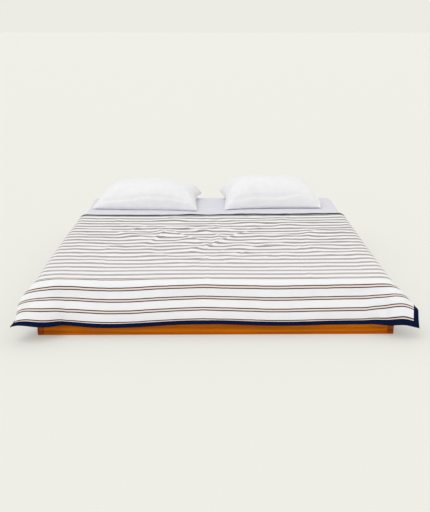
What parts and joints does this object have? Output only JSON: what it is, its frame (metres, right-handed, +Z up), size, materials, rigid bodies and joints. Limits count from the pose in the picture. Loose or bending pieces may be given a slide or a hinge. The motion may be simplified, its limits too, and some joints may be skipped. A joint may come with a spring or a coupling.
{
  "type": "duvet on a bed",
  "caption": "Light striped duvet with a navy border draped over a low wooden platform bed, with a mattress, a fitted sheet and two pillows.",
  "frame": {"origin": "on the floor under the middle of the mattress, at the foot of the middle centre leg", "axes": "+X to the right seen from the foot of the bed, +Y towards the head, +Z up"},
  "size_m": [2.1856, 2.1788, 0.4761],
  "materials": {
    "wood_finished": "satin",
    "wood_plain": "matte",
    "steel": "satin",
    "foam": "matte",
    "wadding": "matte",
    "cotton_striped": "matte",
    "cotton_white": "matte",
    "cotton_navy": "matte",
    "cotton_grey": "matte"
  },
  "bodies": {
    "bed_base": {"side_rail_left": "wood_finished", "side_rail_right": "wood_finished", "foot_rail": "wood_finished", "head_rail": "wood_finished", "ledger_left": "wood_plain", "ledger_right": "wood_plain", "centre_beam": "wood_plain", "centre_leg_1": "wood_plain", "centre_leg_2": "wood_plain", "centre_leg_3": "wood_plain", "slat_01": "wood_plain", "slat_02": "wood_plain", "slat_03": "wood_plain", "slat_04": "wood_plain", "slat_05": "wood_plain", "slat_06": "wood_plain", "slat_07": "wood_plain", "slat_08": "wood_plain", "slat_09": "wood_plain", "slat_10": "wood_plain", "corner_bracket_1": "steel", "corner_bracket_2": "steel", "corner_bracket_3": "steel", "corner_bracket_4": "steel", "bracket_screw_1": "steel", "bracket_screw_2": "steel", "bracket_screw_3": "steel", "bracket_screw_4": "steel", "bracket_screw_5": "steel", "bracket_screw_6": "steel", "bracket_screw_7": "steel", "bracket_screw_8": "steel"},
    "mattress": {"mattress_core": "foam", "mattress_topper": "wadding", "fitted_sheet": "cotton_grey"},
    "duvet": {"duvet_back_panel": "cotton_white", "duvet_filling": "wadding", "duvet_front_panel": "cotton_striped", "duvet_foot_border": "cotton_navy", "duvet_side_border_left": "cotton_navy", "duvet_side_border_right": "cotton_navy"},
    "duvet_head": {"turndown_back_panel": "cotton_white", "turndown_filling": "wadding", "turndown_front_panel": "cotton_striped", "turndown_head_border": "cotton_navy"},
    "duvet_flap_left": {"flap_left_back_panel": "cotton_white", "flap_left_filling": "wadding", "flap_left_front_panel": "cotton_striped", "flap_left_border": "cotton_navy"},
    "duvet_flap_right": {"flap_right_back_panel": "cotton_white", "flap_right_filling": "wadding", "flap_right_front_panel": "cotton_striped", "flap_right_border": "cotton_navy"},
    "pillow_left": {"pillowcase_left": "cotton_white", "pillow_filling_left": "wadding"},
    "pillow_right": {"pillowcase_right": "cotton_white", "pillow_filling_right": "wadding"}
  },
  "joints": [
    {"name": "mattress_lift", "type": "slide", "parent": "bed_base", "child": "mattress", "axis": [0, 0, 1], "range_m": [0, 0.2]},
    {"name": "duvet_lift", "type": "slide", "parent": "mattress", "child": "duvet", "axis": [0, 0, 1], "range_m": [0, 0.35]},
    {"name": "turn_down", "type": "hinge", "parent": "duvet", "child": "duvet_head", "pos_m": [0, 0.055, 0.3077], "axis": [1, 0, 0], "range_deg": [0, 180]},
    {"name": "flap_left_turn", "type": "hinge", "parent": "duvet_head", "child": "duvet_flap_left", "pos_m": [-0.917, 0.23, 0.2894], "axis": [0, 1, 0], "range_deg": [0, 137]},
    {"name": "flap_right_turn", "type": "hinge", "parent": "duvet_head", "child": "duvet_flap_right", "pos_m": [0.917, 0.23, 0.2894], "axis": [0, -1, 0], "range_deg": [0, 137]},
    {"name": "pillow_left_lift", "type": "slide", "parent": "mattress", "child": "pillow_left", "axis": [0, 0, 1], "range_m": [0, 0.3]},
    {"name": "pillow_right_lift", "type": "slide", "parent": "mattress", "child": "pillow_right", "axis": [0, 0, 1], "range_m": [0, 0.3]}
  ],
  "couplings": [
    {"joint": "flap_left_turn", "follows": "turn_down", "ratio": 0.75556},
    {"joint": "flap_right_turn", "follows": "turn_down", "ratio": 0.75556}
  ]
}
